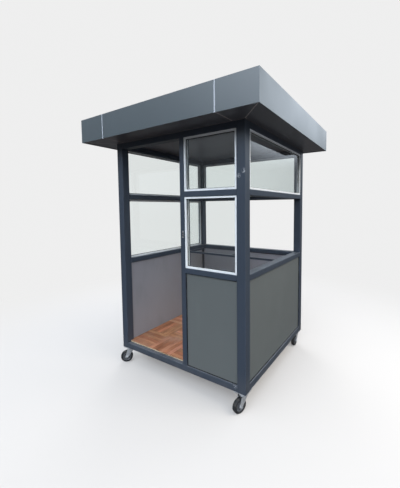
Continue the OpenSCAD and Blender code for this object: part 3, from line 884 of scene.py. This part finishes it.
def axle_washers(corner):
    """Washers on the outer faces of a fork's cheeks, round the axle."""
    joint = JOINTS["roll_" + corner]
    axis = Vector(joint["axis"])
    centre = Vector(joint["pos_m"])
    reach = WHEEL_W / 2 + CHEEK_GAP + CHEEK_T
    hole_r, washer_r, near, far = 6.2 * MM, 13 * MM, 0.1 * MM, 1.8 * MM
    washer = [(hole_r, near), (washer_r, near), (washer_r, far), (hole_r, far)]
    piece = Piece()
    for sign in (-1, 1):
        piece.lathe(washer, facing(centre + axis * sign * reach, axis * sign), 32)
    piece.done("fork_washers_" + corner, ZINC, "fork_" + corner, "zinc")


def plate_bolts():
    """Hexagon bolts at the corners of each caster's top plate, with their washers."""
    piece = Piece()
    inset = 36 * MM
    washer_r, washer_h, head_r, head_h = 9.5 * MM, 1.6 * MM, 7.5 * MM, 5.5 * MM
    down = (0, 0, -1)
    for corner in CORNERS:
        x, y, _ = JOINTS["swivel_" + corner]["pos_m"]
        for sx in (-1, 1):
            for sy in (-1, 1):
                at = Vector((x + sx * inset, y + sy * inset, BASE_Z - PLATE_DROP))
                piece.screw(facing(at, down), washer_r, washer_h, 24)
                piece.screw(facing(at - Vector((0, 0, washer_h)), down), head_r, head_h)
    piece.done("caster_bolts", ZINC, BODY, "zinc")


for place in CORNERS:
    tyre(place)
    core(place)
    axle_washers(place)
plate_bolts()


# ---------------------------------------------------------------- camera, floor and light

CAMERA_AT = (1.7907, -2.551, 1.7007)
CAMERA_RIGHT = (0.8449, 0.5349, -0.0063)
CAMERA_UP = (-0.0301, 0.0594, 0.9978)
CAMERA_SHIFT = (-0.0561, -0.0371)
LENS = 20.25
SENSOR = 36.0


def make_camera():
    """Stands off the front right corner at eye height, looking a little down."""
    right, up = Vector(CAMERA_RIGHT), Vector(CAMERA_UP)
    back = right.cross(up).normalized()
    data = bpy.data.cameras.new("camera")
    data.sensor_fit = "AUTO"
    data.sensor_width = SENSOR
    data.lens = LENS
    data.shift_x, data.shift_y = CAMERA_SHIFT
    cam = bpy.data.objects.new("camera", data)
    bpy.context.scene.collection.objects.link(cam)
    turn = Matrix((right, up, back)).transposed().to_4x4()
    cam.matrix_world = Matrix.Translation(CAMERA_AT) @ turn
    bpy.context.scene.camera = cam


BACKDROP = (0.86, 0.86, 0.86, 1.0)
# the floor near the booth: its colour, its own glow, and where it starts and ends its fade
FLOOR_TONE = (0.528, 0.503, 0.478, 1.0)
GLOW = 0.16
FADE = (1.2, 4.5)
FLOOR_R = 60.0
# colours of the surroundings that light the booth and show in its gloss
GROUND = (0.11, 0.11, 0.115, 1.0)
FOREGROUND = (0.15, 0.15, 0.155, 1.0)
HORIZON = (0.178, 0.195, 0.220, 1.0)
ZENITH = (1.33, 1.46, 1.64, 1.0)
# gains of the bright sky in front, of a patch of it at the back, and of the yard on the right
FRONT_GAIN = 5.6
SIDE_GAIN = 4.0
YARD_GAIN = 2.5
LAMP_SIZE = (4.0, 3.0)


def make_floor():
    """Pale ground disc that takes soft shadows near the booth and fades into the backdrop."""
    mesh = bpy.data.meshes.new("ground")
    bm = bmesh.new()
    bmesh.ops.create_circle(bm, cap_ends=True, segments=96, radius=FLOOR_R)
    bm.to_mesh(mesh)
    bm.free()
    ground = bpy.data.objects.new("ground", mesh)
    bpy.context.scene.collection.objects.link(ground)
    s = Shade("ground", (0.80, 0.80, 0.80, 1.0), 1.0, Specular_IOR_Level=0.0)
    away = s.add("ShaderNodeVectorMath", {0: s.coords}, operation="LENGTH").outputs[1]
    far = s.span(away, *FADE, GLOW, 1.0)
    s.put("Base Color", s.mix(far, FLOOR_TONE, (0.0, 0.0, 0.0, 1.0)))
    s.put("Emission Color", BACKDROP)
    s.put("Emission Strength", far)
    mesh.materials.append(s.mat)
    ground.visible_diffuse = False
    ground.visible_glossy = False
    ground.visible_transmission = False


def make_world():
    """Flat pale backdrop; light and reflections come from an overcast sky over dull ground."""
    world = bpy.data.worlds.new("backdrop")
    world.use_nodes = True
    t = Tree(world.node_tree, "Generated")
    flat = world.node_tree.nodes["Background"]
    flat.inputs[0].default_value = BACKDROP
    height = t.axes()[2]

    def towards(direction, start, end):
        """Rises from nought to one as a ray turns towards a direction."""
        match = t.add("ShaderNodeVectorMath", {0: t.coords, 1: direction},
                      operation="DOT_PRODUCT").outputs[1]
        return t.span(match, start, end)

    def bright_sky(spread, gain, start, end):
        """Gain of a bright part of the sky, which sets in between two heights."""
        return t.math("MULTIPLY", t.math("MULTIPLY", spread, gain), t.span(height, start, end))

    sky = t.mix(t.span(height, 0.0, 1.0), HORIZON, ZENITH)
    ground = t.mix(towards((0.3, -0.95, 0.0), -0.3, 0.6), GROUND, FOREGROUND)
    sky = t.mix(t.span(height, -0.06, 0.06), ground, sky)
    front = bright_sky(towards((0.25, -0.97, 0.0), 0.40, 0.85), FRONT_GAIN, 0.24, 0.42)
    side = bright_sky(towards((0.26, 0.93, 0.26), 0.945, 1.0), SIDE_GAIN, 0.12, 0.24)
    level = t.span(t.math("ABSOLUTE", height), 0.10, 0.45, YARD_GAIN, 0.0)
    yard = t.math("MULTIPLY", towards((1.0, 0.0, 0.0), 0.45, 0.90), level)
    gain = t.math("ADD", t.math("ADD", front, side), yard)
    lit = t.add("ShaderNodeBackground", {0: sky, 1: t.math("ADD", gain, 1.0)}).outputs[0]
    path = t.add("ShaderNodeLightPath").outputs
    bounced = t.math("ADD", path["Diffuse Depth"], path["Glossy Depth"])
    choose = t.add("ShaderNodeMixShader", {0: t.math("MINIMUM", bounced, 1.0), 2: lit})
    t.tree.links.new(flat.outputs[0], choose.inputs[1])
    t.tree.links.new(choose.outputs[0], t.tree.nodes["World Output"].inputs[0])
    bpy.context.scene.world = world


def soft_light(name, place, target, power, color):
    """Large soft lamp aimed at a point, seen only by what it lights."""
    data = bpy.data.lights.new(name, "AREA")
    data.shape = "RECTANGLE"
    data.size, data.size_y = LAMP_SIZE
    data.energy = power
    data.color = color
    lamp = bpy.data.objects.new(name, data)
    bpy.context.scene.collection.objects.link(lamp)
    lamp.location = place
    lamp.visible_transmission = False
    lamp.visible_camera = False
    lamp.visible_glossy = False
    lamp.rotation_mode = "QUATERNION"
    lamp.rotation_quaternion = (Vector(place) - Vector(target)).to_track_quat("Z", "Y")


make_camera()
make_floor()
make_world()
soft_light("key", (-1.0, -4.8, 6.2), (0, 0, 1.2), 12, (0.98, 0.99, 1.0))
soft_light("fill", (-4.6, 5.6, 4.4), (0, 0, 1.1), 190, (1.0, 0.98, 0.95))
soft_light("side", (5.4, 0.2, 5.4), (0, 0, 0.9), 290, (1.0, 0.92, 0.80))
bpy.context.scene.view_settings.view_transform = "Standard"
